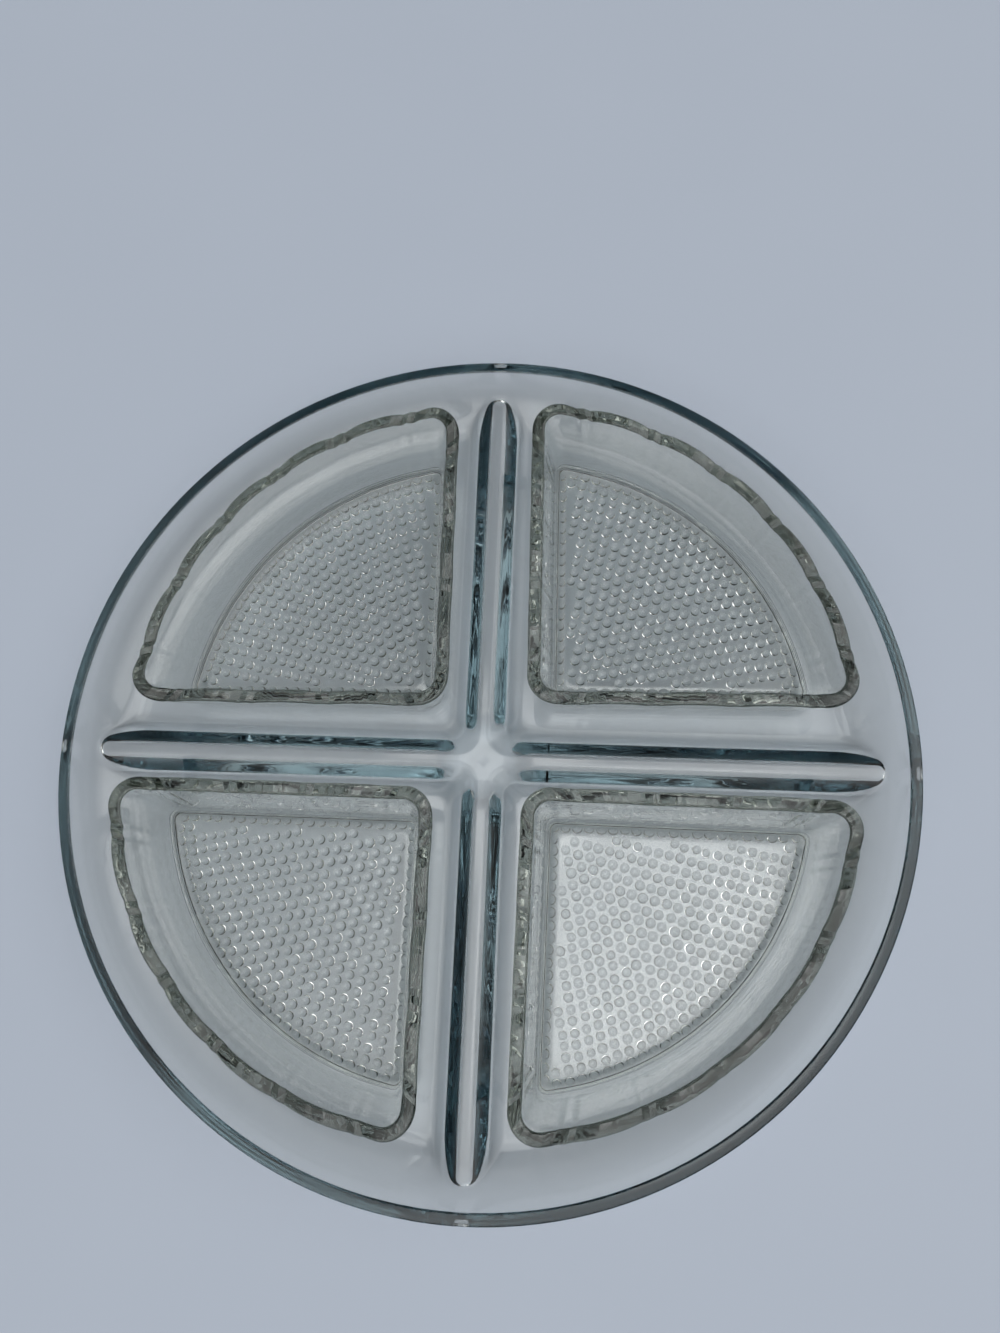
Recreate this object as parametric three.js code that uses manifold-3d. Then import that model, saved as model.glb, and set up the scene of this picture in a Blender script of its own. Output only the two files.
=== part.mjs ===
// A round pressed-glass serving tray, divided by a raised cross into four quarters, with a loose
// quarter-round glass dish standing in each quarter. Millimetres, +Z up. The origin is the middle of
// the tray's underside, and the cross runs along X and Y.
import * as THREE from "three";
import { LoftGeometry } from "three/addons/geometries/LoftGeometry.js";
import { mergeVertices } from "three/addons/utils/BufferGeometryUtils.js";
import Module from "manifold-3d";

// Tray: a flat floor that sweeps up into a low wall with a flat rim
const trayDiameter = 330;
const trayHeight = 24.5;
const trayFloorThickness = 5;
const trayWallThickness = 4.7;
const wallCurveRun = 22.3; // how far the wall's sweep reaches in over the floor
const trayRimEdgeRadius = 0.9; // both edges of the flat rim

// Cross: four ridges, hollow underneath, that die into the wall
const ridgeHeight = 7; // above the tray's floor
const ridgeBaseWidth = 30;
const ridgeCrownWidth = 2;
const ridgeRoofThickness = 4; // glass between the crown and the hollow
const hollowMouthWidth = 12.6;
const hollowRoofWidth = 4.8;
const hollowMiddleHeight = 2.7; // the hollow is lower round the tray's middle
const hollowRiseStart = 8; // from the tray's middle along each arm, where the hollow's roof starts to rise
const hollowRiseEnd = 20; // where it has its full height
const hollowEndInset = 11.6; // from the tray's edge to the middle of the hollow's rounded end
const ridgeJoinRadius = 5; // in plan, where the feet of two ridges meet
const crownJoinRadius = 9; // in plan, where their crowns meet

// Dish: two straight walls and one curved wall, all leaning out, on a narrow foot
const dishHeight = 38; // foot to the top of the rim's lobes
const dishWallThickness = 5;
const dishFloorThickness = 4.6; // foot to the floor inside
const straightWallLean = 5.2; // from foot to rim
const curvedWallLean = 8.3;
const curveCentre = 8.7; // the curved wall's centre, from the middle of both ridges
const rimCornerRadius = 11;
const footCornerRadius = 7.5;
const sharpestCornerRadius = 3.5; // the least corner radius of an inner outline
const dishRimEdgeRadius = 1; // both edges of the flat rim
const footWidth = 3.4; // plain border around the panel underneath
const footFlatWidth = 0.4; // the line on which a dish stands
const footEdgeWidth = 2; // the foot's rounded outer edge, in plan
const footEdgeHeight = 4;
const panelRecess = 1.5; // the panel underneath lies this far above the foot
const floorEdgeRadius = 5; // inside, between wall and floor

// Rim of the dish: long lobes with a short notch between each pair
const scallopCount = 14; // the first lobe is centred on the corner over the tray's middle
const scallopDepth = 2.4;
const notchWidth = 5.4; // between its two creases
const notchBeadHeight = 0.9; // the low bead in the middle of a notch
const lobeShoulderDrop = 0.5; // halfway from a lobe's top to its crease

// Fits of the dishes in the tray
const ridgeClearance = 5.45; // foot of a ridge to the foot of a dish
const wallClearance = 5.6; // start of the wall's sweep to the foot of a dish
const seatGap = 0.3; // under a standing dish

// The dishes stand loose: each lies a little off its middle place, away from the Y and X ridges beside
// it as seen in its own quarter, and is turned a little
const placements = [
  { name: "dish_back_right", awayX: 2.2, awayY: 1.7, turnDegrees: 0.9 },
  { name: "dish_back_left", awayX: -1.1, awayY: -3.5, turnDegrees: 0.6 },
  { name: "dish_front_left", awayX: -0.9, awayY: 0.1, turnDegrees: -0.1 },
  { name: "dish_front_right", awayX: -0.8, awayY: 1.9, turnDegrees: -0.5 },
];

// Facets
const turnFacets = 72;
const sweepFacets = 6;
const rimFacets = 2;
const ridgeFacets = 5;
const joinFacets = 5;
const armEndFacets = 6;
const hollowRiseFacets = 4;

// Glass
const trayGlass = { color: 0xd3e6e4, roughness: 0.04, metalness: 0, transparent: true, opacity: 0.35 };
const dishGlass = { color: 0xdcded2, roughness: 0.05, metalness: 0, transparent: true, opacity: 0.35 };

// Worked-out sizes of the tray
const trayRadius = trayDiameter / 2;
const shoulderHeight = trayHeight - trayRimEdgeRadius; // where the wall ends and the rim's edge starts
const flatRadius = trayRadius - trayWallThickness - wallCurveRun;
const buriedDepth = trayFloorThickness / 2; // of the ridges in the floor, before they are joined
const roofHeight = trayFloorThickness + ridgeHeight - ridgeRoofThickness;

// Worked-out sizes of a dish, measured from the middle of the ridges (side) and the tray's axis (reach)
const seatHeight = trayFloorThickness + seatGap;
const footOutline = {
  side: ridgeBaseWidth / 2 + ridgeClearance,
  reach: flatRadius - wallClearance,
  corner: footCornerRadius,
};
const rimOutline = {
  side: footOutline.side - straightWallLean,
  reach: footOutline.reach + curvedWallLean,
  corner: rimCornerRadius,
};
const rimShoulder = dishHeight - dishRimEdgeRadius;
const dishMiddle = (footOutline.side + footOutline.reach * Math.SQRT1_2) / 2; // along X and along Y

const wasm = await Module();
wasm.setup();

// A closed geometry as a solid that can be joined and cut. Triangles that shrank to a line, where a ring
// closes to a point, are left out.
function toSolid(geometry) {
  const bare = new THREE.BufferGeometry().copy(geometry);
  bare.deleteAttribute("normal");
  bare.deleteAttribute("uv");
  const merged = mergeVertices(bare, 1e-4);
  const triangles = [];
  for (let i = 0; i < merged.index.count; i += 3) {
    const corners = [0, 1, 2].map((k) => merged.index.getX(i + k));
    if (new Set(corners).size === 3) triangles.push(...corners);
  }
  return new wasm.Manifold(
    new wasm.Mesh({
      numProp: 3,
      vertProperties: new Float32Array(merged.attributes.position.array),
      triVerts: new Uint32Array(triangles),
    }),
  );
}

// A joined or cut solid as a geometry again.
function toGeometry(solid) {
  const mesh = solid.getMesh();
  const geometry = new THREE.BufferGeometry();
  geometry.setAttribute("position", new THREE.BufferAttribute(mesh.vertProperties, 3));
  geometry.setIndex(new THREE.BufferAttribute(mesh.triVerts, 1));
  geometry.computeVertexNormals();
  return geometry;
}

// A profile of [radius, height] points turned about the Z axis.
function turned(profile) {
  const points = profile.map(([radius, height]) => new THREE.Vector2(radius, height));
  return toSolid(new THREE.LatheGeometry(points, turnFacets).rotateX(Math.PI / 2));
}

// The wall's sweep: a quarter of an ellipse from the flat at startHeight up to the shoulder at endRadius.
function sweep(startHeight, endRadius) {
  const run = endRadius - flatRadius;
  const rise = shoulderHeight - startHeight;
  return Array.from({ length: sweepFacets + 1 }, (_, i) => {
    const angle = ((i / sweepFacets) * Math.PI) / 2;
    return [flatRadius + run * Math.sin(angle), startHeight + rise * (1 - Math.cos(angle))];
  });
}

// The tray without its cross: underside, outer sweep, flat rim, inner sweep and floor.
function makePan() {
  const outer = sweep(0, trayRadius);
  const inner = sweep(trayFloorThickness, trayRadius - trayWallThickness);
  const edge = Array.from({ length: rimFacets }, (_, i) => {
    const angle = (((i + 1) / rimFacets) * Math.PI) / 2;
    return [trayRimEdgeRadius * (1 - Math.cos(angle)), shoulderHeight + trayRimEdgeRadius * Math.sin(angle)];
  });
  const outerEdge = edge.map(([inwards, height]) => [trayRadius - inwards, height]);
  const innerEdge = edge.map(([inwards, height]) => [trayRadius - trayWallThickness + inwards, height]);
  const rim = [...outerEdge, ...innerEdge.reverse()];
  return turned([[0, 0], ...outer, ...rim, ...inner.reverse(), [0, trayFloorThickness]]);
}

// The space that the ridges may fill: up to the middle of the floor's and the wall's thickness.
function makeRidgeLimit() {
  const middle = sweep(buriedDepth, trayRadius - trayWallThickness / 2);
  return turned([[0, buriedDepth], ...middle, [0, shoulderHeight]]);
}

// A level outline of the cross: four arms of one half width with rounded ends, joined by arcs that open from
// the feet of the ridges to their crowns.
function crossOutline(halfWidth, reach, height) {
  const climb = (ridgeBaseWidth - 2 * halfWidth) / (ridgeBaseWidth - ridgeCrownWidth);
  const radius = THREE.MathUtils.lerp(ridgeJoinRadius, crownJoinRadius, climb);
  const centre = halfWidth + radius;
  const points = [];
  for (let quarter = 0; quarter < 4; quarter++) {
    const arm = [];
    for (let i = 0; i <= armEndFacets; i++) {
      const angle = (i / armEndFacets - 0.5) * Math.PI;
      arm.push(new THREE.Vector3(reach + halfWidth * Math.cos(angle), halfWidth * Math.sin(angle), height));
    }
    for (let i = 0; i <= joinFacets; i++) {
      const angle = -Math.PI / 2 - ((i / joinFacets) * Math.PI) / 2;
      const x = centre + radius * Math.cos(angle);
      const y = centre + radius * Math.sin(angle);
      arm.push(new THREE.Vector3(x, y, height));
    }
    const axis = new THREE.Vector3(0, 0, 1);
    points.push(...arm.map((point) => point.applyAxisAngle(axis, (quarter * Math.PI) / 2)));
  }
  return points;
}

// The raised cross: its flanks fall in an S from the crown to the floor.
function makeRidges() {
  const baseHalf = ridgeBaseWidth / 2;
  const crownHalf = ridgeCrownWidth / 2;
  const reach = trayRadius - trayWallThickness / 2;
  const sections = [crossOutline(baseHalf, reach, 0)];
  for (let i = 0; i <= ridgeFacets; i++) {
    const climb = i / ridgeFacets;
    const height = trayFloorThickness + ridgeHeight * climb * climb * (3 - 2 * climb);
    sections.push(crossOutline(baseHalf + (crownHalf - baseHalf) * climb, reach, height));
  }
  return toSolid(new LoftGeometry(sections, { capStart: true, capEnd: true }));
}

// What the hollow leaves solid over the tray's middle: square rings that narrow as its roof falls.
function makeHollowFill() {
  const corners = [[1, -1], [1, 1], [-1, 1], [-1, -1]];
  const square = (half, height) => corners.map(([x, y]) => new THREE.Vector3(x * half, y * half, height));
  const sections = [];
  for (let i = 0; i <= hollowRiseFacets; i++) {
    const along = THREE.MathUtils.lerp(hollowRiseStart, hollowRiseEnd, i / hollowRiseFacets);
    const rise = THREE.MathUtils.smoothstep(i, 0, hollowRiseFacets);
    sections.push(square(along, THREE.MathUtils.lerp(hollowMiddleHeight, roofHeight, rise)));
  }
  sections.push(square(hollowRiseEnd, roofHeight + ridgeRoofThickness));
  return toSolid(new LoftGeometry(sections, { capStart: true, capEnd: true }));
}

// The hollow under the cross, open below, with its rounded ends cut into the wall's sweep. Its roof rises
// along each arm from the tray's middle.
function makeHollow() {
  const reach = trayRadius - hollowEndInset;
  const sections = [
    crossOutline(hollowMouthWidth / 2, reach, -trayFloorThickness),
    crossOutline(hollowMouthWidth / 2, reach, 0),
    crossOutline(hollowRoofWidth / 2, reach, roofHeight),
  ];
  const hollow = toSolid(new LoftGeometry(sections, { capStart: true, capEnd: true }));
  return hollow.subtract(makeHollowFill());
}

function makeTray() {
  const ridges = makeRidges().intersect(makeRidgeLimit());
  return toGeometry(makePan().add(ridges).subtract(makeHollow()));
}

// An outline moved inwards by a distance.
function inset(outline, distance) {
  return {
    side: outline.side + distance,
    reach: outline.reach - distance,
    corner: Math.max(outline.corner - distance, sharpestCornerRadius),
  };
}

// A quarter-round path with three rounded corners, which starts at the corner over the tray's middle and
// runs anticlockwise: along X, round the curve, and back along Y.
function quarterRound({ side, reach, corner }) {
  const radius = reach - curveCentre * Math.SQRT2;
  const cornerHeight = side + corner;
  const cornerReach = curveCentre + Math.sqrt((radius - corner) ** 2 - (cornerHeight - curveCentre) ** 2);
  const tangent = Math.atan2(cornerHeight - curveCentre, cornerReach - curveCentre);
  const path = new THREE.Path();
  path.absarc(cornerHeight, cornerHeight, corner, 1.25 * Math.PI, 1.5 * Math.PI);
  path.absarc(cornerReach, cornerHeight, corner, -0.5 * Math.PI, tangent);
  path.absarc(curveCentre, curveCentre, radius, tangent, 0.5 * Math.PI - tangent);
  path.absarc(cornerHeight, cornerReach, corner, 0.5 * Math.PI - tangent, Math.PI);
  path.absarc(cornerHeight, cornerHeight, corner, Math.PI, 1.25 * Math.PI);
  return path;
}

// Where each lobe and notch is sampled, as shares of one scallop from the middle of its lobe, and how far
// the rim lies below its top there.
const scallopLength = quarterRound(rimOutline).getLength() / scallopCount;
const creaseShare = 0.5 - notchWidth / 2 / scallopLength;
const scallopSamples = [
  { share: 0, drop: 0 },
  { share: creaseShare / 2, drop: lobeShoulderDrop },
  { share: creaseShare, drop: scallopDepth },
  { share: 0.5, drop: scallopDepth - notchBeadHeight },
  { share: 1 - creaseShare, drop: scallopDepth },
  { share: 1 - creaseShare / 2, drop: lobeShoulderDrop },
];

// One ring of a dish at a height above its foot, level or following the rim's lobes.
function dishRing(outline, height, followsRim = false) {
  const path = quarterRound(outline);
  const ring = [];
  for (let scallop = 0; scallop < scallopCount; scallop++) {
    for (const { share, drop } of scallopSamples) {
      const point = path.getPoint((scallop + share) / scallopCount);
      ring.push(new THREE.Vector3(point.x, point.y, followsRim ? height - drop : height));
    }
  }
  return ring;
}

// The outside of the dish's wall at a height above the foot.
function wallOutline(height) {
  const climb = (height - footEdgeHeight) / (rimShoulder - footEdgeHeight);
  return {
    side: footOutline.side + (rimOutline.side - footOutline.side) * climb,
    reach: footOutline.reach + (rimOutline.reach - footOutline.reach) * climb,
    corner: footOutline.corner + (rimOutline.corner - footOutline.corner) * climb,
  };
}

// A dish in the first quarter, from the panel underneath, over the foot, the outer wall, the rim and the
// inner wall to the floor inside.
function makeDish() {
  const roundShare = 1 - Math.SQRT1_2; // of a radius, halfway round a quarter circle
  const floorEdgeTop = dishFloorThickness + floorEdgeRadius;
  const innerWall = inset(wallOutline(floorEdgeTop), dishWallThickness);
  const rimEdge = dishRimEdgeRadius * roundShare;
  const floorEdge = floorEdgeRadius * roundShare;
  const closedAt = (height) =>
    Array(scallopCount * scallopSamples.length).fill(new THREE.Vector3(dishMiddle, dishMiddle, height));
  const sections = [
    closedAt(panelRecess),
    dishRing(inset(footOutline, footWidth), panelRecess),
    dishRing(inset(footOutline, footEdgeWidth + footFlatWidth), 0),
    dishRing(inset(footOutline, footEdgeWidth), 0),
    dishRing(inset(footOutline, footEdgeWidth * roundShare), footEdgeHeight * roundShare),
    dishRing(footOutline, footEdgeHeight),
    dishRing(rimOutline, rimShoulder, true),
    dishRing(inset(rimOutline, rimEdge), dishHeight - rimEdge, true),
    dishRing(inset(rimOutline, dishRimEdgeRadius), dishHeight, true),
    dishRing(inset(rimOutline, dishWallThickness - dishRimEdgeRadius), dishHeight, true),
    dishRing(inset(rimOutline, dishWallThickness - rimEdge), dishHeight - rimEdge, true),
    dishRing(inset(rimOutline, dishWallThickness), rimShoulder, true),
    dishRing(innerWall, floorEdgeTop),
    dishRing(inset(innerWall, floorEdge), dishFloorThickness + floorEdge),
    dishRing(inset(innerWall, floorEdgeRadius), dishFloorThickness),
    closedAt(dishFloorThickness),
  ];
  return toGeometry(toSolid(new LoftGeometry(sections)));
}

const servingDish = new THREE.Group();

const tray = new THREE.Mesh(makeTray(), new THREE.MeshStandardMaterial(trayGlass));
tray.name = "tray";
servingDish.add(tray);

// Each dish turns about its middle, in a group that turns it to its quarter.
placements.forEach(({ name, awayX, awayY, turnDegrees }, index) => {
  const shape = makeDish().translate(-dishMiddle, -dishMiddle, 0);
  const dish = new THREE.Mesh(shape, new THREE.MeshStandardMaterial(dishGlass));
  dish.name = name;
  dish.position.set(dishMiddle + awayX, dishMiddle + awayY, seatHeight);
  dish.rotation.z = THREE.MathUtils.degToRad(turnDegrees);
  const quarter = new THREE.Group();
  quarter.rotation.z = (index * Math.PI) / 2;
  quarter.add(dish);
  servingDish.add(quarter);
});

export default servingDish;
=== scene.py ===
# %% [markdown]
# # A divided serving dish in pressed glass
# The real object is a round glass tray with a raised cross, and a loose quarter-round glass dish stands in
# each quarter. Five pieces, all clear glass, so everything that the eye sees comes from the shape: where a
# surface turns, the glass bends the view of the table or throws it back. The CAD model already has every
# size and place. This lesson rebuilds its pieces as finer surfaces, because glass shows each facet.

# %% Load the frame
import math

import bpy
import numpy as np
from mathutils import Matrix, Vector, geometry


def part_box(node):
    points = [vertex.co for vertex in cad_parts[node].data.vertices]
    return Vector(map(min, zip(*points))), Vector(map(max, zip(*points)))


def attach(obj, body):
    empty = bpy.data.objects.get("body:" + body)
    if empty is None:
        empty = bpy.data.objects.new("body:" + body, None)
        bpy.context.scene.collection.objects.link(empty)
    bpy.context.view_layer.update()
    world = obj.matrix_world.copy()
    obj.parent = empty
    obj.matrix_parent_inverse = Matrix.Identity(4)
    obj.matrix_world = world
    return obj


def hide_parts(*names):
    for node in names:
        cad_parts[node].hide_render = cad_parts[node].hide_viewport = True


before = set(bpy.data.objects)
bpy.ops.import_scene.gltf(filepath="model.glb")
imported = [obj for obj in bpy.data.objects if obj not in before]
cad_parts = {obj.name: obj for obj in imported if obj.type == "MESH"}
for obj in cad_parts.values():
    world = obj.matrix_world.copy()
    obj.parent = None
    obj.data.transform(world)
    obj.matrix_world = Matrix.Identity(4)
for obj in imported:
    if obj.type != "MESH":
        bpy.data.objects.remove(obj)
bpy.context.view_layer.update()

# %% [markdown]
# ## From arrays to a mesh
# Each surface below is worked out as a grid of points with numpy. Blender needs a list of points and a list
# of faces, and this helper hands both over. Two grids that meet share a line of points, so equal points are
# welded: glass must be one closed skin, or light leaks out of it.

# %% Mesh helpers
MM = 0.001
WELD_STEP = 1e-7  # metres: points closer than this are one point


def grid_faces(rows, columns):
    """Quads of a grid whose columns close on themselves: point (i, j) has the number i * columns + j."""
    first = np.arange(rows - 1)[:, None] * columns + np.arange(columns)
    beside = np.arange(rows - 1)[:, None] * columns + (np.arange(columns) + 1) % columns
    return np.stack([first, beside, beside + columns, first + columns], axis=-1).reshape(-1, 4)


def weld(points, faces):
    """Gives equal points one number, by rounding them to a fine step and keeping each place once."""
    places = np.round(points / WELD_STEP).astype(np.int64)
    _, kept, number = np.unique(places, axis=0, return_index=True, return_inverse=True)
    return points[kept], number.reshape(-1)[faces]


def put_mesh(name, points, faces, sharp_angle=None):
    """Makes a smooth-shaded mesh object at the origin. Edges that turn more than sharp_angle stay sharp."""
    mesh = bpy.data.meshes.new(name)
    mesh.from_pydata(points.tolist(), [], faces)
    mesh.polygons.foreach_set("use_smooth", np.ones(len(mesh.polygons), dtype=bool))
    if sharp_angle is not None:
        mesh.set_sharp_from_angle(angle=sharp_angle)
    mesh.update()
    piece = bpy.data.objects.new(name, mesh)
    bpy.context.scene.collection.objects.link(piece)
    print(name, len(mesh.vertices), "points,", len(mesh.polygons), "faces")
    return piece


# %% [markdown]
# ## The tray's shape
# The tray is pressed in one piece: a flat floor that sweeps up into a low wall, and a cross of four ridges.
# Each ridge is hollow underneath. That hollow matters more than anything else here: its steep flanks act as
# mirrors, seen from above through the glass, and they are the dark bands of the cross. The whole tray is two
# height fields, the top and the underside, so it can be written as two functions of x and y.

# %% Tray sizes
tray_low, tray_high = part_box("tray")
tray_radius = (tray_high.x - tray_low.x) / 2
tray_height = tray_high.z
floor_thickness = 5.0 * MM
wall_thickness = 4.7 * MM
wall_run = 22.3 * MM  # in plan, from the flat floor to the wall's inner face
rim_edge = 0.9 * MM  # rounding of the rim's two edges
ridge_height = 7.0 * MM
ridge_half_base = 15.0 * MM
ridge_half_crown = 1.0 * MM
ridge_roof = 4.0 * MM  # glass between the hollow and the ridge's crown
ridge_join = 5.0 * MM  # rounding in plan where the bases of two ridges meet
crown_join = 9.0 * MM  # and where their crowns meet
hollow_half_mouth = 6.3 * MM
hollow_half_roof = 2.4 * MM
hollow_fade_start = 8.0 * MM  # distance from the tray's middle where the hollow starts to rise
hollow_fade_end = 20.0 * MM
hollow_middle_share = 0.34  # of its full height, round the tray's middle
hollow_square = 4  # power of the rounded squares along which the hollow rises
hollow_end_inset = 11.6 * MM  # from the tray's edge to the end of the hollow's middle line
top_blend = 1.2 * MM  # rounding between a ridge and the wall
hollow_round = 2.0 * MM  # rounding between the hollow's flanks and its roof
hollow_lip = 0.3 * MM  # rounding of the hollow's mouth

flat_radius = tray_radius - wall_thickness - wall_run
shoulder = tray_height - rim_edge
hollow_height = floor_thickness + ridge_height - ridge_roof
print("flat floor radius", round(flat_radius / MM, 1), "mm, hollow", round(hollow_height / MM, 1), "mm high")


# %% Tray height fields
def smooth_step(t):
    """Goes from 0 to 1 in an S: 3 t squared minus 2 t cubed, held at its ends."""
    t = np.clip(t, 0, 1)
    return t * t * (3 - 2 * t)


def smooth_max(a, b, width):
    """The higher of two heights, with the corner between them rounded over a width."""
    share = np.clip(0.5 + 0.5 * (a - b) / width, 0, 1)
    return b + (a - b) * share + width * share * (1 - share)


def ridge_distance(x, y):
    """Distance in plan from the cross's middle lines: the smaller of |x| and |y|. Where two ridges meet, the
    line at a distance d is an arc of radius R = open - spread * d about the point (d + R, d + R), and d is
    the larger root of the quadratic that puts (x, y) on its arc."""
    x, y = np.abs(x), np.abs(y)
    spread = (crown_join - ridge_join) / (ridge_half_base - ridge_half_crown)
    open_join = ridge_join + spread * ridge_half_base
    move = 1 - spread
    square = 2 * move**2 - spread**2
    linear = 4 * open_join * move - 2 * move * (x + y) + 2 * open_join * spread
    constant = (x - open_join) ** 2 + (y - open_join) ** 2 - open_join**2
    arc = (np.sqrt(np.maximum(linear**2 - 4 * square * constant, 0)) - linear) / (2 * square)
    centre = open_join + move * arc
    return np.where((x < centre) & (y < centre), arc, np.minimum(x, y))


def sweep_height(radius, start, run):
    """The wall's sweep: a quarter ellipse that leaves the flat at flat_radius and stands upright at run."""
    t = np.clip((radius - flat_radius) / run, 0, 1)
    return start + (shoulder - start) * (1 - np.sqrt(1 - t * t))


def tray_top(x, y):
    """Height of the top: the ridge's S-shaped flanks, or the floor and wall where these are higher."""
    climb = smooth_step((ridge_half_base - ridge_distance(x, y)) / (ridge_half_base - ridge_half_crown))
    ridge = floor_thickness + ridge_height * climb
    return smooth_max(sweep_height(np.hypot(x, y), floor_thickness, wall_run), ridge, top_blend)


def tray_underside(x, y):
    """Height of the underside: straight flanks up to the hollow's roof, or the table and the outer wall. Past
    the end of an arm's middle line the flank falls with the distance from that end, so the hollow's end is
    round in plan. The hollow is lower round the tray's middle and rises along each arm to its full height."""
    slope = hollow_height / (hollow_half_mouth - hollow_half_roof)
    beyond = np.maximum(np.maximum(np.abs(x), np.abs(y)) - (tray_radius - hollow_end_inset), 0)
    flank = (hollow_half_mouth - np.hypot(ridge_distance(x, y), beyond)) * slope
    along = (x**hollow_square + y**hollow_square) ** (1 / hollow_square)
    rise = smooth_step((along - hollow_fade_start) / (hollow_fade_end - hollow_fade_start))
    share = hollow_middle_share + (1 - hollow_middle_share) * rise
    hollow = -smooth_max(-flank, -hollow_height, hollow_round) * share
    wall = sweep_height(np.hypot(x, y), 0.0, wall_run + wall_thickness)
    return smooth_max(wall, hollow, hollow_lip)


middle = np.zeros(1)
middle_glass = (tray_top(middle, middle) - tray_underside(middle, middle))[0]
print("in its middle the tray is", round(middle_glass / MM, 1), "mm thick")

# %% [markdown]
# ## The tray's grid
# A plain polar grid would be coarse across the ridges just where the light bends most. So each column of
# this grid either keeps a fixed distance from a ridge's middle line, or takes a fixed share of the angle
# between two ridges. The rings start at a small square round the centre, which has its own square grid.

# %% Tray grid
arm_half = 15.5 * MM
arm_step = 0.5 * MM
gap_columns = 35
arm_offsets = np.arange(-round(arm_half / arm_step), round(arm_half / arm_step) + 1) * arm_step
core_half = arm_half + (gap_columns + 1) / 2 * arm_step


def quarter_turns(points):
    """Four copies of a quarter's points, each turned by a right angle, one after the other."""
    x, y = points[..., 0], points[..., 1]
    turned = [np.stack(pair, axis=-1) for pair in ((x, y), (-y, x), (-x, -y), (y, -x))]
    return np.concatenate(turned, axis=-2)


def round_rings(radius):
    """Rings of the grid: on an arm at offset d the point is (sqrt(r^2 - d^2), d), and between two arms the
    angle is shared out evenly."""
    radius = np.asarray(radius)[:, None]
    along = np.sqrt(radius**2 - arm_offsets**2)
    arm = np.stack([along, np.broadcast_to(arm_offsets, along.shape)], axis=-1)
    start = np.arcsin(arm_half / radius)
    share = np.arange(1, gap_columns + 1) / (gap_columns + 1)
    angle = start + share * (np.pi / 2 - 2 * start)
    gap = np.stack([radius * np.cos(angle), radius * np.sin(angle)], axis=-1)
    return quarter_turns(np.concatenate([arm, gap], axis=1))


def square_ring():
    """The same columns on the edge of the square round the centre, at equal steps."""
    along = np.arange(1, gap_columns + 1) * arm_step
    side = core_half - arm_half
    corner = np.stack([core_half - np.maximum(along - side, 0), arm_half + np.minimum(along, side)], axis=-1)
    arm = np.stack([np.full(len(arm_offsets), core_half), arm_offsets], axis=-1)
    return quarter_turns(np.concatenate([arm, corner]))


print(len(square_ring()), "columns round the tray, and a middle square of", round(2 * core_half / MM), "mm")

# %% [markdown]
# ## The tray's skin
# The rings go from the middle square out over the floor and the wall, over the rim with its two rounded
# edges, and back underneath to the same square. On the wall they are spaced by an angle and not by a length,
# because the wall grows ever steeper and equal lengths would leave it coarse below the rim.

# %% Tray skin
first_ring_share = 1.6  # radius of the first round ring, in halves of the middle square
near_rings = 8  # from the middle square to the first round ring
flat_rings = 34
sweep_steps = 32
edge_rings = 9  # round each edge of the rim


def with_height(xy, height):
    """Adds the height worked out from x and y to an array of plan points."""
    return np.concatenate([xy, height(xy[..., 0], xy[..., 1])[..., None]], axis=-1)


def rim_over():
    """The rim's rings: a quarter circle up from the inner wall, the flat, and a quarter circle down to the
    outer wall."""
    turn = np.linspace(0, np.pi / 2, edge_rings)
    inner = tray_radius - wall_thickness + rim_edge * (1 - np.cos(turn))
    outer = tray_radius - rim_edge * (1 - np.sin(turn))
    height = shoulder + rim_edge * np.concatenate([np.sin(turn), np.cos(turn)])
    rim = round_rings(np.concatenate([inner, outer]))
    return np.concatenate([rim, np.broadcast_to(height[:, None, None], rim.shape[:2] + (1,))], axis=-1)


def middle_square():
    """Plan points and quads of the square grid round the centre."""
    line = np.arange(-round(core_half / arm_step), round(core_half / arm_step) + 1) * arm_step
    count = len(line)
    corner = (np.arange(count - 1)[:, None] * count + np.arange(count - 1)).reshape(-1)
    cells = np.stack([corner, corner + count, corner + count + 1, corner + 1], axis=-1)
    return np.stack(np.meshgrid(line, line, indexing="ij"), axis=-1), cells


def make_tray():
    """Stacks the rings of the top, the rim and the underside, and closes both centres with square grids."""
    first_radius = first_ring_share * core_half
    share = np.linspace(0, 1, near_rings + 1)[:-1, None, None]
    near = square_ring() * (1 - share) + round_rings([first_radius]) * share
    flat = round_rings(np.linspace(first_radius, flat_radius, flat_rings))
    lean = np.sin(np.linspace(0, np.pi / 2, sweep_steps + 1)[1:-1])
    over = with_height(np.concatenate([near, flat, round_rings(flat_radius + wall_run * lean)]), tray_top)
    outside = round_rings(flat_radius + (wall_run + wall_thickness) * lean)
    under = with_height(np.concatenate([near, flat, outside]), tray_underside)
    rings = np.concatenate([over, rim_over(), under[::-1]])

    square, cells = middle_square()
    points = [rings.reshape(-1, 3)]
    points += [with_height(square, field).reshape(-1, 3) for field in (tray_top, tray_underside)]
    top_start = len(points[0])
    under_start = top_start + len(points[1])
    faces = [grid_faces(*rings.shape[:2])[:, ::-1], cells + top_start, cells[:, ::-1] + under_start]
    return weld(np.concatenate(points), np.concatenate(faces))


tray_points, tray_faces = make_tray()
tray = put_mesh("tray_glass", tray_points, tray_faces.tolist())
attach(tray, "tray")
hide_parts("tray")

# %% [markdown]
# ## The dish's outline
# A dish is a quarter-round box: two straight sides along the ridges and one curved side along the tray's
# wall, with three rounded corners. Every level of the dish has that outline at another size. It is measured
# by arc length from the corner over the tray's middle, because the rim's scallops are spaced along it.

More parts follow.
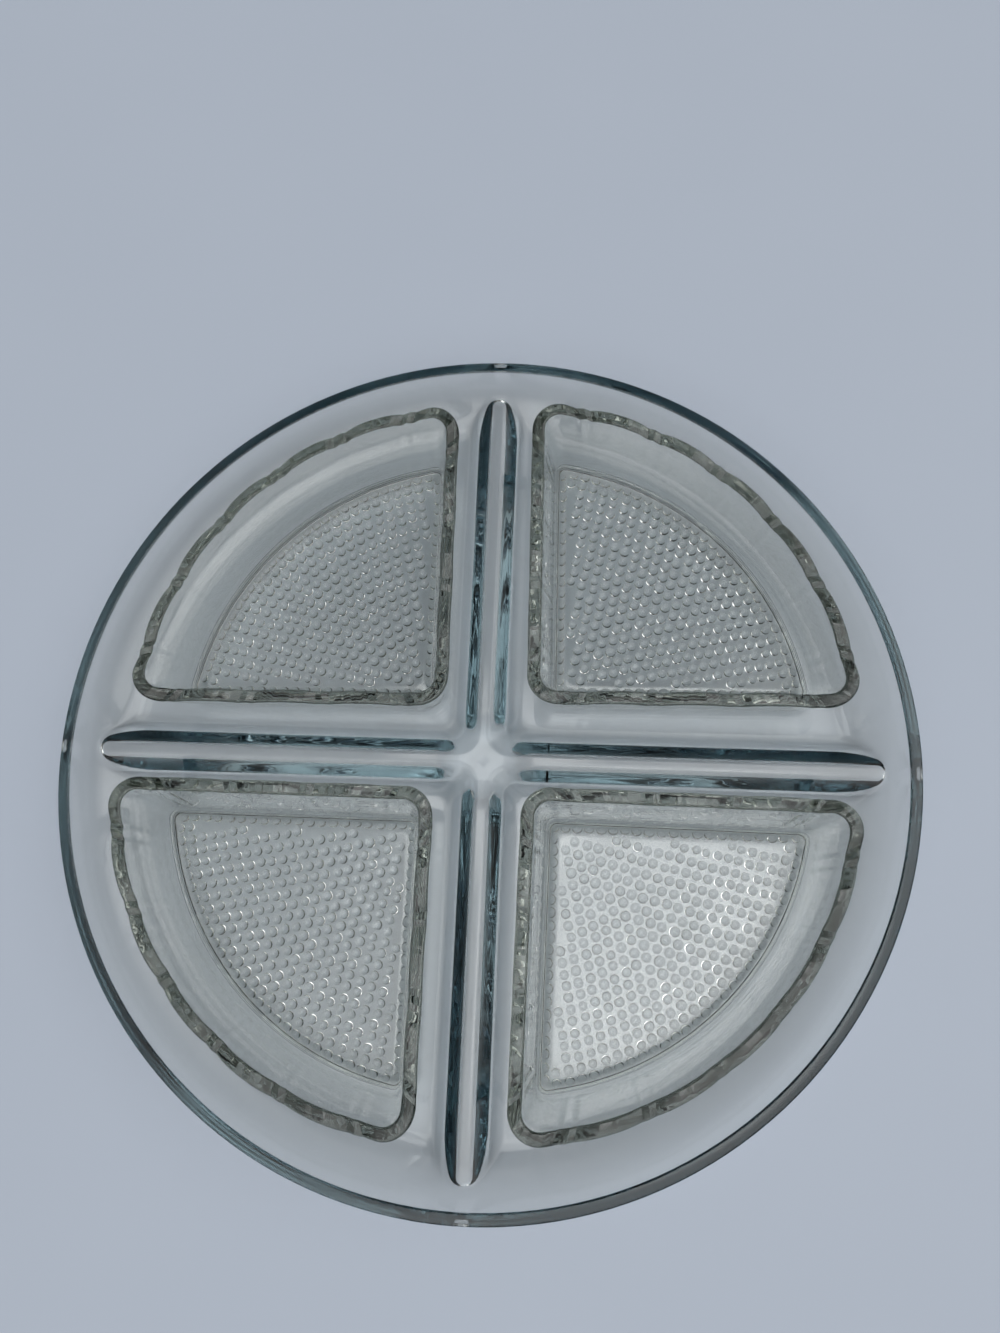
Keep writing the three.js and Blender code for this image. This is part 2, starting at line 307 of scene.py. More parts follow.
# %% Dish sizes
dish_height = 38.0 * MM
dish_wall = 5.0 * MM
dish_floor = 4.6 * MM
dish_rim_edge = 1.0 * MM  # rounding of the rim's two edges
straight_lean = 5.2 * MM  # how far a straight side leans out from foot to rim
curved_lean = 8.3 * MM
curve_centre = 8.7 * MM  # x and y of the long arc's centre
rim_corner = 11.0 * MM
foot_corner = 7.5 * MM
least_corner = 3.5 * MM
foot_width = 3.4 * MM
foot_edge = 2.0 * MM  # rounding of the foot: how far it goes in
foot_round = 4.0 * MM  # and how far it goes up
foot_flat = 0.4 * MM
foot_grooves = 3
groove_depth = 0.35 * MM
panel_recess = 1.5 * MM
floor_edge = 5.0 * MM  # rounding between the inner wall and the floor
floor_rest = 0.3 * MM  # flat ring inside that rounding
ridge_clearance = 5.45 * MM  # from a ridge's base to the foot
wall_clearance = 5.6 * MM  # from the foot to the tray's sweep
seat_gap = 0.3 * MM  # from the tray's floor up to the foot

foot_side = ridge_half_base + ridge_clearance
foot_reach = flat_radius - wall_clearance
dish_middle = (foot_side + foot_reach * math.sqrt(0.5)) / 2
rim_shoulder = dish_height - dish_rim_edge
print("a dish's foot starts", round(foot_side / MM, 1), "mm from the cross's middle lines")


# %% Dish outline
def quarter_outline(side, reach, corner, share):
    """Plan points at shares of the way round, and the whole way. Half of the outline is an eighth of a
    circle, a straight line, a corner's arc and half of the long arc, and the other half is its mirror image
    in the diagonal."""
    radius = reach - curve_centre * math.sqrt(2)
    near = side + corner
    far = curve_centre + np.sqrt((radius - corner) ** 2 - (near - curve_centre) ** 2)
    tangent = np.arctan2(near - curve_centre, far - curve_centre)
    corner_arc = corner * (np.pi / 2 + tangent)
    ends = np.cumsum([corner * np.pi / 4, far - near, corner_arc, radius * (np.pi / 4 - tangent)], axis=0)
    way = 2 * np.minimum(share, 1 - share) * ends[3]
    inner_angle = 1.25 * np.pi + way / corner
    outer_angle = -0.5 * np.pi + (way - ends[1]) / corner
    arc_angle = tangent + (way - ends[2]) / radius
    stretch = [way < ends[0], way < ends[1], way < ends[2]]
    x = np.select(
        stretch,
        [near + corner * np.cos(inner_angle), near + way - ends[0], far + corner * np.cos(outer_angle)],
        curve_centre + radius * np.cos(arc_angle),
    )
    y = np.select(
        stretch,
        [near + corner * np.sin(inner_angle), side + 0 * way, near + corner * np.sin(outer_angle)],
        curve_centre + radius * np.sin(arc_angle),
    )
    mirrored = share > 0.5
    return np.where(mirrored, y, x), np.where(mirrored, x, y), 2 * ends[3]


rim_side = foot_side - straight_lean
rim_reach = foot_reach + curved_lean
rim_length = float(quarter_outline(rim_side, rim_reach, rim_corner, np.array([0.0]))[2])
print("way round a dish's rim:", round(rim_length / MM), "mm")

# %% [markdown]
# ## The scalloped rim
# The rim is a row of long lobes. Between two lobes is a short notch with a low bead in it, and the two
# creases beside the bead catch the light as a pair of lines. The height of the rim is a function of the
# distance from the nearest notch. The columns of the grid are placed so that each crease has its own column.

# %% Rim scallops
scallops = 14
scallop_depth = 2.4 * MM
notch_half = 2.7 * MM
bead_height = 0.9 * MM
lobe_power = 2.6
lobe_columns = 14
bead_columns = 6

scallop_half = rim_length / scallops / 2
lobe_way = notch_half + (scallop_half - notch_half) * np.linspace(1, 0, lobe_columns + 1)
bead_way = notch_half * np.linspace(1, 0, bead_columns + 1)[1:]
half_way = np.concatenate([lobe_way, bead_way])
from_notch = np.concatenate([half_way, half_way[-2:0:-1]])
half_share = 0.5 - half_way / scallop_half / 2
one_share = np.concatenate([half_share, 1 - half_share[-2:0:-1]])
shares = ((np.arange(scallops)[:, None] + one_share) / scallops).reshape(-1)


def rim_drop(distance):
    """How far the rim lies below its top: a lobe falls from its middle to the crease ever more steeply, as a
    power of the way, and the bead rises from the crease in a straight line to the notch's middle."""
    lobe = np.clip((distance - notch_half) / (scallop_half - notch_half), 0, 1)
    bead = np.clip(1 - distance / notch_half, 0, 1)
    lobe_drop = scallop_depth * (1 - lobe) ** lobe_power
    return np.where(distance > notch_half, lobe_drop, scallop_depth - bead_height * bead)


drops = np.tile(rim_drop(from_notch), scallops)
print(len(shares), "columns round a dish,", len(one_share), "for each scallop")

# %% [markdown]
# ## The dish's wall
# A section through the wall is a path of four numbers: how far up the wall the outline is taken, how far it
# is set in, the height, and how much of the scallops it follows. Carried round the outline, that path gives
# the panel's edge, the foot, the outer wall, the rim with its rounded edges, the inner wall and the edge of
# the floor.

# %% Dish section
groove_steps = 6  # points in each groove of the foot
foot_steps = 9
wall_steps = 10
round_steps = 9
outer_climb = (0.04, 0.98)  # the outer wall's first and last ring, in shares of the climb to the rim
inner_top = 0.97  # the inner wall's highest ring


def stretch_of(climb, inset, height, follow, steps):
    """A stretch of the section: each of its four values is a number, a pair of ends or a whole array."""
    values = (climb, inset, height, follow)
    spread = [np.linspace(*v, steps) if isinstance(v, tuple) else np.broadcast_to(v, steps) for v in values]
    return np.stack(spread, axis=-1)


def wall_height(climb):
    """Height at a share of the climb from the top of the foot to the rim's shoulder."""
    return foot_round + climb * (rim_shoulder - foot_round)


def foot_curve():
    """The foot's outer edge: a quarter ellipse of foot_edge by foot_round with small grooves. At a share u of
    the way the surface lies 1 - |sin(grooves * pi * u)| of a groove's depth inside the ellipse, past the
    first half groove."""
    way = np.linspace(0, 1, groove_steps * foot_grooves + 1)[1:]
    turn = way * np.pi / 2
    inward = np.stack([np.sin(turn) / foot_edge, np.cos(turn) / foot_round])
    inward = inward / np.linalg.norm(inward, axis=0)
    depth = groove_depth * (1 - np.abs(np.sin(foot_grooves * np.pi * way))) * (way > 0.5 / foot_grooves)
    inset = foot_edge * (1 - np.sin(turn)) + depth * inward[0]
    return inset, foot_round * (1 - np.cos(turn)) + depth * inward[1]


def dish_section():
    """The section's points from the panel underneath, over the rim, to the floor inside."""
    turn = np.linspace(0, np.pi / 2, round_steps)
    panel_rise = panel_recess * smooth_step(np.linspace(1, 0, foot_steps))
    foot_inset, foot_rise = foot_curve()
    outer_inset = dish_rim_edge * (1 - np.cos(turn))
    inner_inset = dish_wall - dish_rim_edge * (1 - np.sin(turn))
    rim_inset = np.concatenate([outer_inset, inner_inset])
    rim_rise = rim_shoulder + dish_rim_edge * np.concatenate([np.sin(turn), np.cos(turn)])
    floor_top = dish_floor + floor_edge
    low_climb = (floor_top - foot_round) / (rim_shoulder - foot_round)
    floor_inset = dish_wall + floor_edge * (1 - np.cos(turn[1:]))
    floor_fall = floor_top - floor_edge * np.sin(turn[1:])
    outer_height = tuple(wall_height(climb) for climb in outer_climb)
    inner_height = (wall_height(inner_top), floor_top)
    return np.concatenate(
        [
            stretch_of(0, (foot_width, foot_edge + foot_flat), panel_rise, 0, foot_steps),
            stretch_of(0, foot_edge, 0, 0, 1),
            stretch_of(0, foot_inset, foot_rise, 0, len(foot_inset)),
            stretch_of(outer_climb, 0, outer_height, outer_climb, wall_steps),
            stretch_of(1, rim_inset, rim_rise, 1, len(rim_inset)),
            stretch_of((inner_top, low_climb), dish_wall, inner_height, (inner_top, 0), wall_steps),
            stretch_of(low_climb, floor_inset, floor_fall, 0, len(floor_inset)),
            stretch_of(low_climb, dish_wall + floor_edge + floor_rest, dish_floor, 0, 1),
        ]
    )


def dish_rings(section):
    """Carries the section round the outline: ring i, column j is the outline of ring i at share j."""
    climb, inset, height, follow = (section[:, k : k + 1] for k in range(4))
    side = foot_side + (rim_side - foot_side) * climb + inset
    reach = foot_reach + (rim_reach - foot_reach) * climb - inset
    corner = np.maximum(foot_corner + (rim_corner - foot_corner) * climb - inset, least_corner)
    x, y, _ = quarter_outline(side, reach, corner, shares[None, :])
    return np.stack([x, y, height - follow * drops], axis=-1)


wall_rings = dish_rings(dish_section())
print("dish wall grid:", wall_rings.shape[0], "rings of", wall_rings.shape[1])

# %% [markdown]
# ## The bubbles under the floor
# The floor inside a dish is smooth. Underneath, a recessed panel is covered with low round bubbles: one row
# along each straight edge, and rows of arcs in between, each staggered against the next. No two bubbles of
# the real mould are quite alike, so place, size and edge are drawn at random, from a fixed seed.

# %% Bubble places
bubble_pitch = 4.75 * MM
bubble_row = 4.15 * MM
edge_row = 2.6 * MM  # from the panel's edge to the first row
corner_gap = 2.0 * MM
least_gap = 4.3 * MM
row_reach = 40  # steps to each side of the diagonal, more than the longest row needs
bubble_stray = 0.3 * MM
bubble_seed = 7

panel_side = foot_side + foot_width
panel_radius = foot_reach - foot_width - curve_centre * math.sqrt(2)
rng = np.random.default_rng(bubble_seed)


def bubble_places():
    """Centres in plan. Along a straight edge they lie at equal steps. On an arc row of radius r they lie at
    angles of whole, or on every other row half, steps of pitch / r from the diagonal. A bubble that comes
    too close to one along a straight edge is left out."""
    row = panel_side + edge_row
    outer = panel_radius - edge_row
    reach = curve_centre + math.sqrt(outer**2 - (row - curve_centre) ** 2)
    along = np.linspace(row, reach - corner_gap, round((reach - row) / bubble_pitch) + 1)
    straight = np.stack([along, np.full(len(along), row)], axis=-1)
    edges = np.concatenate([straight, straight[1:, ::-1]])
    radius = np.arange(outer, row, -bubble_row)[:, None]
    steps = np.arange(-row_reach, row_reach + 1) + 0.5 * (np.arange(len(radius)) % 2)[:, None]
    angle = np.pi / 4 + steps * bubble_pitch / radius
    arcs = curve_centre + radius[..., None] * np.stack([np.cos(angle), np.sin(angle)], axis=-1)
    arcs = arcs[np.abs(angle - np.pi / 4) < np.pi / 4]
    arcs = arcs[arcs.min(axis=1) > row]
    gap = np.linalg.norm(arcs[:, None] - edges, axis=-1).min(axis=1)
    return np.concatenate([edges, arcs[gap > least_gap]])


bubbles = bubble_places()
bubbles = bubbles + rng.uniform(-bubble_stray, bubble_stray, bubbles.shape)
print(len(bubbles), "bubbles under each dish")

# %% [markdown]
# ## The shape of a bubble
# A bubble is a small lens: a cap of a ball that ends in a short sloping skirt. Where the skirt is steep it
# throws the light of the room back as a white mark, and where it is flatter it turns dark. There are hundreds
# of bubbles, so each gets only four rings of twelve points and a top.

# %% Bubble sizes
bubble_radius = 2.1 * MM
bubble_spread = (0.88, 1.05)  # least and largest share of that radius
bubble_seam = 0.18 * MM  # least half width of the panel between two bubbles
bubble_cap = 0.86  # the cap's share of the radius, and the rest is the skirt
bubble_slope = math.radians(40.5)  # of the cap at its edge
skirt_degrees = (37, 46)
bubble_shares = (1.0, bubble_cap, 0.62, 0.32)  # the rings' shares of the radius
bubble_rings = len(bubble_shares)
bubble_sides = 12
no_neighbour = 1.0  # metres, in place of a bubble's distance from itself

between = np.linalg.norm(bubbles[:, None] - bubbles, axis=-1) + np.diag(np.full(len(bubbles), no_neighbour))
bubble_sizes = bubble_radius * rng.uniform(*bubble_spread, len(bubbles))
bubble_sizes = np.minimum(bubble_sizes, between.min(axis=1) / 2 - bubble_seam)
skirt_slopes = np.tan(np.radians(rng.uniform(*skirt_degrees, len(bubbles))))
print("bubble radius", round(bubble_sizes.min() / MM, 2), "to", round(bubble_sizes.max() / MM, 2), "mm")


# %% Bubble surfaces
def bubble_domes():
    """A bubble is the cap of a ball on a short cone, its skirt. The ball's radius R is the cap's radius over
    the sine of the cap's slope. At a distance d the cap stands out by sqrt(R^2 - d^2) minus R times the
    cosine, and the skirt adds its run times the tangent of its own slope. Gives rings and tops for all
    bubbles."""
    turn = np.arange(bubble_sides) / bubble_sides * 2 * np.pi
    size = bubble_sizes[:, None, None]
    out = size * np.array(bubble_shares)[:, None]
    x = bubbles[:, 0, None, None] + out * np.cos(turn)
    y = bubbles[:, 1, None, None] + out * np.sin(turn)
    cap = size * bubble_cap
    ball = cap / math.sin(bubble_slope)
    skirt = (size - np.maximum(out, cap)) * skirt_slopes[:, None, None]
    stand = skirt + np.sqrt(ball**2 - np.minimum(out, cap) ** 2) - ball * math.cos(bubble_slope)
    rings = np.stack([x, y, np.broadcast_to(panel_recess - stand, x.shape)], axis=-1)
    skirt_height = bubble_sizes * (1 - bubble_cap) * skirt_slopes
    cap_height = ball[:, 0, 0] * (1 - math.cos(bubble_slope))
    return rings, np.column_stack([bubbles, panel_recess - skirt_height - cap_height])


dome_rings, dome_tops = bubble_domes()
print("the deepest bubble stands out", round((panel_recess - dome_tops[:, 2].min()) / MM, 2), "mm")

# %% [markdown]
# ## The panel between the bubbles
# What is left of the panel is a flat sheet with hundreds of round holes. Blender's Delaunay function fills
# such a sheet with triangles when it is given the edge and the circles as lines that must stay. It is handed
# millimetres, so that its own tolerance fits the sizes.

# %% Panel triangles
KEEP_INSIDE = 1  # Delaunay output: the triangles inside the outer line
DELAUNAY_STEP = 1e-5  # millimetres: points closer than this are one point


def closed_lines(number):
    """Pairs of point numbers along closed lines, one line in each row."""
    return np.stack([number, np.roll(number, -1, axis=-1)], axis=-1).reshape(-1, 2)


def panel_faces(edge, rings):
    """Fills the panel between its edge and the feet of the bubbles with Delaunay triangles. Point numbers
    count the edge first and then each bubble's foot. Triangles under a bubble are left out."""
    feet = rings[:, 0, :, :2].reshape(-1, 2)
    foot_number = len(edge) + np.arange(len(feet)).reshape(len(rings), -1)
    lines = np.concatenate([closed_lines(np.arange(len(edge))), closed_lines(foot_number)]).tolist()
    plan = [Vector(point) for point in (np.concatenate([edge, feet]) / MM).tolist()]
    found = geometry.delaunay_2d_cdt(plan, lines, [], KEEP_INSIDE, DELAUNAY_STEP)
    source = np.array([origin[0] for origin in found[3]])
    triangles = source[np.array(found[2])]
    owner = np.concatenate([np.full(len(edge), -1), np.repeat(np.arange(len(rings)), bubble_sides)])
    owners = owner[triangles]
    under = (owners[:, 0] >= 0) & (owners[:, 0] == owners[:, 1]) & (owners[:, 1] == owners[:, 2])
    return triangles[~under]


panel_triangles = panel_faces(wall_rings[0, :, :2], dome_rings)
print(len(panel_triangles), "triangles between the bubbles")

# %% [markdown]
# ## One closed skin
# The wall, the panel, the bubbles and the floor are joined into one closed skin, which is worked out once for
# all four dishes. Each point of the wall also keeps its distance round the rim, as an attribute that the
# glass can read later.


# %% Dish skin
def dome_faces(first_dome, first_top):
    """Quads between a bubble's rings and triangles from its last ring to its top, for all bubbles."""
    number = first_dome + np.arange(dome_rings[..., 0].size).reshape(len(bubbles), bubble_rings, bubble_sides)
    after = np.roll(number, -1, axis=2)
    sides = np.stack([number[:, :-1], number[:, 1:], after[:, 1:], after[:, :-1]], axis=-1).reshape(-1, 4)
    top = np.broadcast_to((first_top + np.arange(len(bubbles)))[:, None], number[:, -1].shape)
    caps = np.stack([number[:, -1], top, after[:, -1]], axis=-1).reshape(-1, 3)
    return sides.tolist() + caps.tolist()


def make_dish():
    """Joins the wall's grid, the panel, the domes and a fan over the inside floor, in quarter coordinates
    with heights from the foot."""
    ring_count, columns = wall_rings.shape[:2]
    centre = np.array([[dish_middle, dish_middle, dish_floor]])
    points = np.concatenate([wall_rings.reshape(-1, 3), dome_rings.reshape(-1, 3), dome_tops, centre])
    first_dome = ring_count * columns
    first_top = first_dome + dome_rings[..., 0].size

    bubble, place = np.divmod(panel_triangles - columns, bubble_sides)
    foot_number = first_dome + bubble * bubble_rings * bubble_sides + place
    panel = np.where(panel_triangles < columns, panel_triangles, foot_number)[:, ::-1]

    last = (ring_count - 1) * columns + np.arange(columns)
    floor = np.stack([last, np.roll(last, -1), np.full(columns, len(points) - 1)], axis=-1)
    faces = grid_faces(ring_count, columns).tolist() + dome_faces(first_dome, first_top)
    return points, faces + panel.tolist() + floor.tolist()


dish_points, dish_faces = make_dish()
way_round = np.zeros(len(dish_points))
way_round[: wall_rings[..., 0].size] = np.tile(np.minimum(shares, 1 - shares) * rim_length, len(wall_rings))
print("dish skin:", len(dish_points), "points,", len(dish_faces), "faces")

# %% [markdown]
# ## Four dishes
# The dishes stand loose, so each lies a little off its middle place and is turned a little. The place goes
# into the points themselves, and the objects stay at the origin.

# %% Place the dishes
# Each dish: its node, its shift in its own quarter in millimetres, and its turn in degrees.
placements = [
    ("dish_back_right", (2.2, 1.7), 0.9),
    ("dish_back_left", (-1.1, -3.5), 0.6),
    ("dish_front_left", (-0.9, 0.1), -0.1),
    ("dish_front_right", (-0.8, 1.9), -0.5),
]
crease_angle = math.radians(26)


def placed(points, quarter, shift, degrees):
    """Turns a dish about its middle, shifts it, and turns it to its quarter about the tray's axis."""
    middle = Vector((dish_middle, dish_middle, 0))
    seat = Vector((shift[0] * MM, shift[1] * MM, floor_thickness + seat_gap))
    local = Matrix.Translation(middle + seat) @ Matrix.Rotation(math.radians(degrees), 4, "Z")
    whole = Matrix.Rotation(quarter * math.pi / 2, 4, "Z") @ local @ Matrix.Translation(-middle)
    return points @ np.array(whole)[:3, :3].T + np.array(whole)[:3, 3]


dishes = []
for quarter, (node, shift, degrees) in enumerate(placements):
    dish = put_mesh(node + "_glass", placed(dish_points, quarter, shift, degrees), dish_faces, crease_angle)
    around = dish.data.attributes.new("around", "FLOAT", "POINT")
    around.data.foreach_set("value", way_round)
    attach(dish, node)
    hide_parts(node)
    dishes.append(dish)

# %% [markdown]
# ## Two glasses
# Clear glass has no colour of its own on its surface. Its tint builds up inside, with the length of the way
# that light takes through it, so it is an absorbing volume: thin floors stay clear while rims, where the eye
# looks down into the wall, turn dark. The tray's glass is teal and the dishes' is olive grey. Pressed glass
# is never quite flat, so a faint slow noise bends the surface.

# %% Glass materials
glass_bending = 1.5  # index of refraction
wave_cells = (45.0, 45.0, 350.0)  # noise cells in a metre along x, y and z
wave_height = 0.5 * MM


def pressed_glass(name, surface_tint, tint, density, wave):
    """A transmitting surface with a faint bump, around a volume that absorbs what the tint lacks."""
    material = bpy.data.materials.new(name)
    material.use_nodes = True
    nodes, links = material.node_tree.nodes, material.node_tree.links
    surface = nodes["Principled BSDF"]
    surface.inputs["Base Color"].default_value = (*surface_tint, 1)
    surface.inputs["Roughness"].default_value = 0.0
    surface.inputs["Transmission Weight"].default_value = 1.0
    surface.inputs["IOR"].default_value = glass_bending
    place = nodes.new("ShaderNodeTexCoord")
    stretch = nodes.new("ShaderNodeVectorMath")
    stretch.operation = "MULTIPLY"
    stretch.inputs[1].default_value = wave_cells
    noise = nodes.new("ShaderNodeTexNoise")
    noise.inputs["Scale"].default_value = 1.0
    noise.inputs["Detail"].default_value = 1.0
    bump = nodes.new("ShaderNodeBump")
    bump.inputs["Strength"].default_value = wave
    bump.inputs["Distance"].default_value = wave_height
    links.new(place.outputs["Object"], stretch.inputs[0])
    links.new(stretch.outputs["Vector"], noise.inputs["Vector"])
    links.new(noise.outputs["Fac"], bump.inputs["Height"])
    links.new(bump.outputs["Normal"], surface.inputs["Normal"])
    inside = nodes.new("ShaderNodeVolumeAbsorption")
    inside.inputs["Color"].default_value = (*tint, 1)
    inside.inputs["Density"].default_value = density
    links.new(inside.outputs["Volume"], nodes["Material Output"].inputs["Volume"])
    return material


tray_glass = pressed_glass(
    "teal tray glass", surface_tint=(1.0, 0.985, 0.945), tint=(0.20, 0.36, 0.42), density=16.0, wave=0.06
)
dish_glass = pressed_glass(
    "olive dish glass", surface_tint=(1.0, 1.0, 1.0), tint=(0.31, 0.37, 0.31), density=36.0, wave=0.08
)
tray.data.materials.append(tray_glass)
for dish in dishes:
    dish.data.materials.append(dish_glass)
print("glass on", 1 + len(dishes), "pieces")

# %% [markdown]
# ## Lines across the rims
# The mould left fine uneven lines across the dishes' rims. They are far smaller than the scallops, so they
# are a bump and not geometry: a noise that reads the distance round the rim and so runs straight across it,
# faded out below the rim to leave the walls clear.

# %% Rim lines
line_cells = 170.0  # noise cells in a metre of the rim
line_height = 45.0  # in wave heights
line_fade = (6.0 * MM, 2.6 * MM)  # below the rim's top: where the lines start and where they are full
dish_top = floor_thickness + seat_gap + dish_height


def line_the_rim(material):
    """Adds to a glass's bump a noise along the way round the rim, times a height that fades in with z."""
    nodes, links = material.node_tree.nodes, material.node_tree.links
    around = nodes.new("ShaderNodeAttribute")
    around.attribute_name = "around"
    lines = nodes.new("ShaderNodeTexNoise")
    lines.noise_dimensions = "1D"
    lines.inputs["Scale"].default_value = line_cells
    lines.inputs["Detail"].default_value = 1.0
    split = nodes.new("ShaderNodeSeparateXYZ")
    fade = nodes.new("ShaderNodeMapRange")
    fade.inputs["From Min"].default_value = dish_top - line_fade[0]
    fade.inputs["From Max"].default_value = dish_top - line_fade[1]
    fade.inputs["To Max"].default_value = line_height
    faded = nodes.new("ShaderNodeMath")
    faded.operation = "MULTIPLY"
    total = nodes.new("ShaderNodeMath")
    total.operation = "ADD"
    links.new(around.outputs["Fac"], lines.inputs["W"])
    links.new(nodes["Texture Coordinate"].outputs["Object"], split.inputs["Vector"])
    links.new(split.outputs["Z"], fade.inputs["Value"])
    links.new(lines.outputs["Fac"], faded.inputs[0])
    links.new(fade.outputs["Result"], faded.inputs[1])
    links.new(nodes["Noise Texture"].outputs["Fac"], total.inputs[0])
    links.new(faded.outputs["Value"], total.inputs[1])
    links.new(total.outputs["Value"], nodes["Bump"].inputs["Height"])


line_the_rim(dish_glass)
print("rim lines about", round(1 / line_cells / MM, 1), "mm apart")

# %% [markdown]
# ## The table
# The dish stands on a plain pale table. It lies a hair below the tray, because two surfaces in the same plane
# would flicker, and its paint is clouded a little, as no real table is one flat colour.

# %% Table
table_gap = 0.3 * MM
table_half = 15.0  # metres, far enough to fill the view
cloud_cells = 9.0  # noise cells in a metre
paint_shades = [(0.451, 0.506, 0.595, 1), (0.470, 0.526, 0.616, 1)]
paint_roughness = 0.6

table_corners = np.array([[-1, -1], [1, -1], [1, 1], [-1, 1]]) * table_half
table_points = np.column_stack([table_corners, np.full(4, -table_gap)])
table = put_mesh("table", table_points, [[0, 1, 2, 3]])


def painted_table():
    """Matt pale paint with a faint cloudy variation of its colour."""
    material = bpy.data.materials.new("pale paint")
    material.use_nodes = True
    nodes, links = material.node_tree.nodes, material.node_tree.links
    place = nodes.new("ShaderNodeTexCoord")
    noise = nodes.new("ShaderNodeTexNoise")
    noise.inputs["Scale"].default_value = cloud_cells
    ramp = nodes.new("ShaderNodeValToRGB")
    for element, shade in zip(ramp.color_ramp.elements, paint_shades):
        element.color = shade
    links.new(place.outputs["Object"], noise.inputs["Vector"])
    links.new(noise.outputs["Fac"], ramp.inputs["Fac"])
    links.new(ramp.outputs["Color"], nodes["Principled BSDF"].inputs["Base Color"])
    nodes["Principled BSDF"].inputs["Roughness"].default_value = paint_roughness
    return material


table.data.materials.append(painted_table())

# %% [markdown]
# ## The room
# Clear glass shows nothing but its surroundings, so the room is not one colour. It is bright overhead and
# dark towards the horizon, and one side is brighter than the other. Two soft lamps near the top give the
# glass its highlights, and a dark flag behind the dish gives its edges their contrast. Area lamps would also
# do. Here all of it is worked out from a ray's direction in the world's nodes, so that the few numbers that
# shape the room stand side by side.

# %% Room helpers
world = bpy.data.worlds.new("soft room")
bpy.context.scene.world = world
world.use_nodes = True
room, room_links = world.node_tree.nodes, world.node_tree.links
direction = room.new("ShaderNodeTexCoord").outputs["Generated"]


def grey_ramp(value, levels):
    """A grey shade of a value, through pairs of place and level."""
    ramp = room.new("ShaderNodeValToRGB")
    while len(ramp.color_ramp.elements) < len(levels):
        ramp.color_ramp.elements.new(0.5)
    for element, (place, level) in zip(ramp.color_ramp.elements, levels):
        element.position = place
        element.color = (level, level, level, 1)
    room_links.new(value, ramp.inputs["Fac"])
    return ramp.outputs["Color"]


def mixed(kind, operation, first, second):
    """The result of a node of this kind on two sockets."""
    node = room.new(kind)
    node.operation = operation
    room_links.new(first, node.inputs[0])
    room_links.new(second, node.inputs[1])
    return node.outputs[0]


def toward(side):
    """How far the direction points along a side: their dot product."""
    node = room.new("ShaderNodeVectorMath")
    node.operation = "DOT_PRODUCT"
    node.inputs[1].default_value = side
    room_links.new(direction, node.inputs[0])
    return node.outputs["Value"]


def soft_disc(side, degrees, levels):
    """A round patch of the room: two angles from its middle, and the level at each, with an S between."""
    disc = room.new("ShaderNodeMapRange")
    disc.interpolation_type = "SMOOTHSTEP"
    disc.inputs["From Min"].default_value = math.cos(math.radians(degrees[0]))
    disc.inputs["From Max"].default_value = math.cos(math.radians(degrees[1]))
    disc.inputs["To Min"].default_value = levels[0]
    disc.inputs["To Max"].default_value = levels[1]
    room_links.new(toward(Vector(side).normalized()), disc.inputs["Value"])
    return disc.outputs["Result"]


# %% Room
bright_side = Vector((1, -1, 0)).normalized() / 2
side_levels = [
    (0.2, 0.12),
    (0.325, 0.16),
    (0.435, 0.42),
    (0.5, 0.62),
    (0.555, 0.92),
    (0.625, 0.94),
    (0.7, 0.74),
    (1.0, 0.6),
]
height_levels = [(0.0, 0.03), (0.35, 0.1), (0.65, 1.0)]
room_strength = 2.15

side_place = room.new("ShaderNodeMath")
side_place.operation = "ADD"
side_place.inputs[1].default_value = 0.5
room_links.new(toward(bright_side), side_place.inputs[0])
side_shade = grey_ramp(side_place.outputs["Value"], side_levels)
height_shade = grey_ramp(toward(Vector((0, 0, 1))), height_levels)
flag = soft_disc((0.0, 0.45, 0.89), degrees=(11, 22), levels=(0.04, 1.0))
first_lamp = soft_disc((0.085, -0.025, 1.0), degrees=(11, 4), levels=(0.0, 0.7))
second_lamp = soft_disc((-0.075, 0.13, 0.99), degrees=(7, 2), levels=(0.0, 0.9))

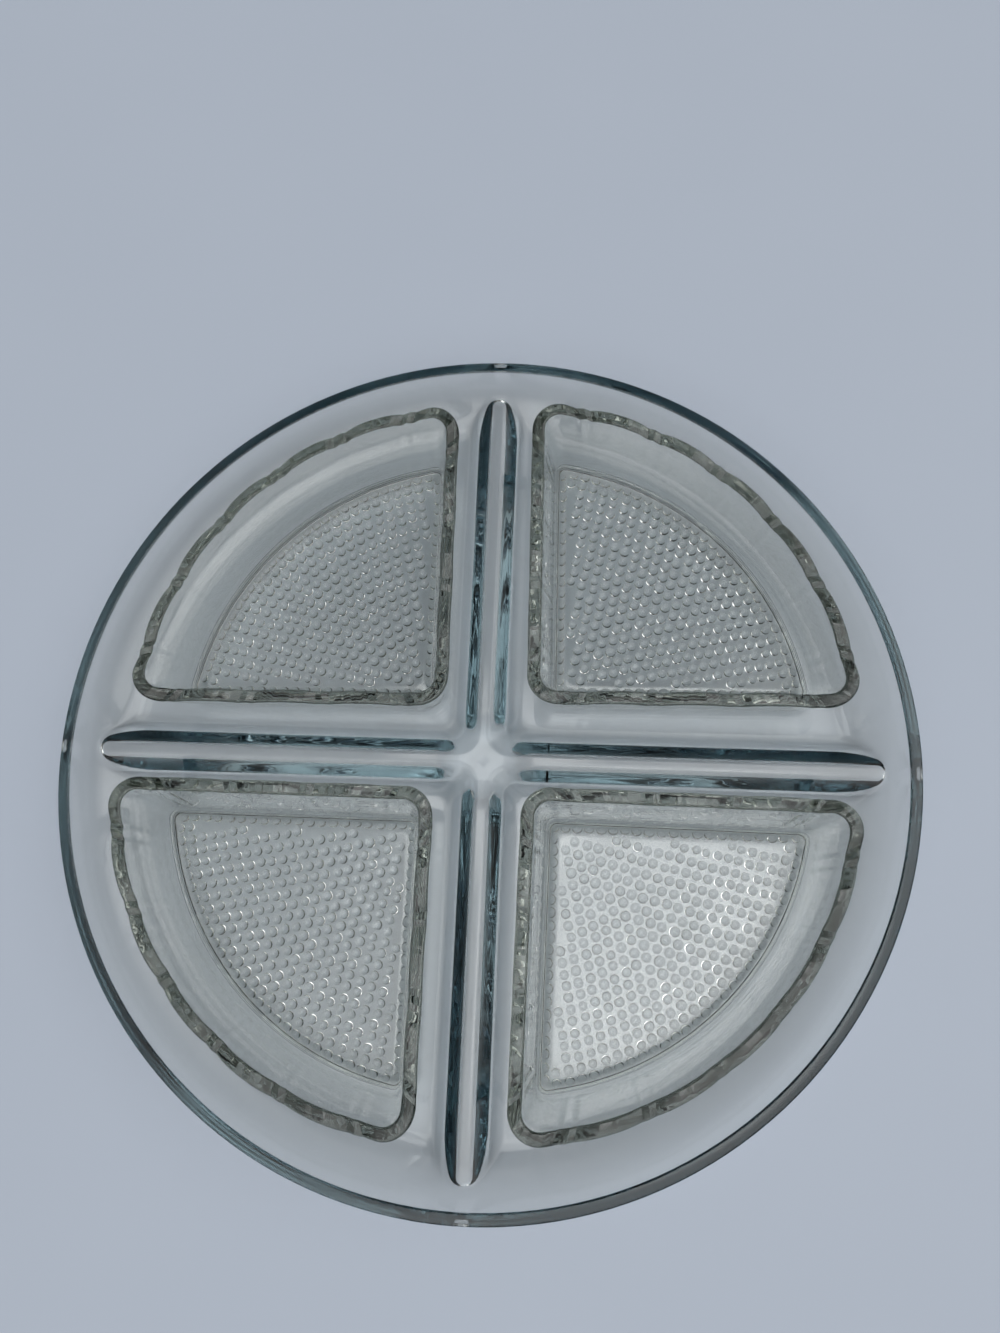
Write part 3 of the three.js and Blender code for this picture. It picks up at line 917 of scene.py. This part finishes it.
walls = mixed("ShaderNodeVectorMath", "MULTIPLY", side_shade, height_shade)
walls = mixed("ShaderNodeVectorMath", "MULTIPLY", walls, flag)
lamps = mixed("ShaderNodeMath", "ADD", first_lamp, second_lamp)
room_light = mixed("ShaderNodeVectorMath", "ADD", walls, lamps)
room_links.new(room_light, room["Background"].inputs["Color"])
room["Background"].inputs["Strength"].default_value = room_strength
print("room made of", len(room), "nodes")

# %% [markdown]
# ## The camera
# The camera looks down at the dish, a little from the front and the right. Its place, aim and lens were
# fitted so that the tray's rim, the cross and the dishes' outlines fall where they do in the photograph. The
# image is 1000 by 1333 pixels, and its longer side fills the 36 mm sensor.

# %% Camera
camera_place = Vector((36.5, -60.6, 418.7)) * MM
camera_aim = Vector((4.6, 40.1, 0.0)) * MM
camera_roll = math.radians(2.49)
focal_pixels = 1045.8
image_height = 1333
sensor = 36.0
nearest_view = 0.01

camera = bpy.data.objects.new("camera", bpy.data.cameras.new("camera"))
bpy.context.scene.collection.objects.link(camera)
camera.data.sensor_width = sensor
camera.data.lens = focal_pixels / image_height * sensor
camera.data.clip_start = nearest_view
back = (camera_place - camera_aim).normalized()
right = Vector((0, 1, 0)).cross(back).normalized()
facing = Matrix((right, back.cross(right), back)).transposed().to_4x4()
camera.matrix_world = Matrix.Translation(camera_place) @ facing @ Matrix.Rotation(camera_roll, 4, "Z")
bpy.context.scene.camera = camera
bpy.context.scene.view_settings.view_transform = "Standard"
print("camera", round(camera_place.length, 3), "m from the tray, lens", round(camera.data.lens, 1), "mm")

# %% [markdown]
# ## Light through many skins
# On its way through a dish and the tray, light crosses a dozen skins and is thrown back and forth inside the
# ridges. Blender stops after a few such turns and leaves black there, so the count is raised. Its filter for
# glossy light is turned off, because it would blur and darken what is seen through several layers of glass.

# %% Light paths
light_turns = 48
paths = bpy.context.scene.cycles
paths.blur_glossy = 0.0
paths.max_bounces = light_turns
paths.glossy_bounces = light_turns
paths.transmission_bounces = light_turns
print("light may turn", light_turns, "times")
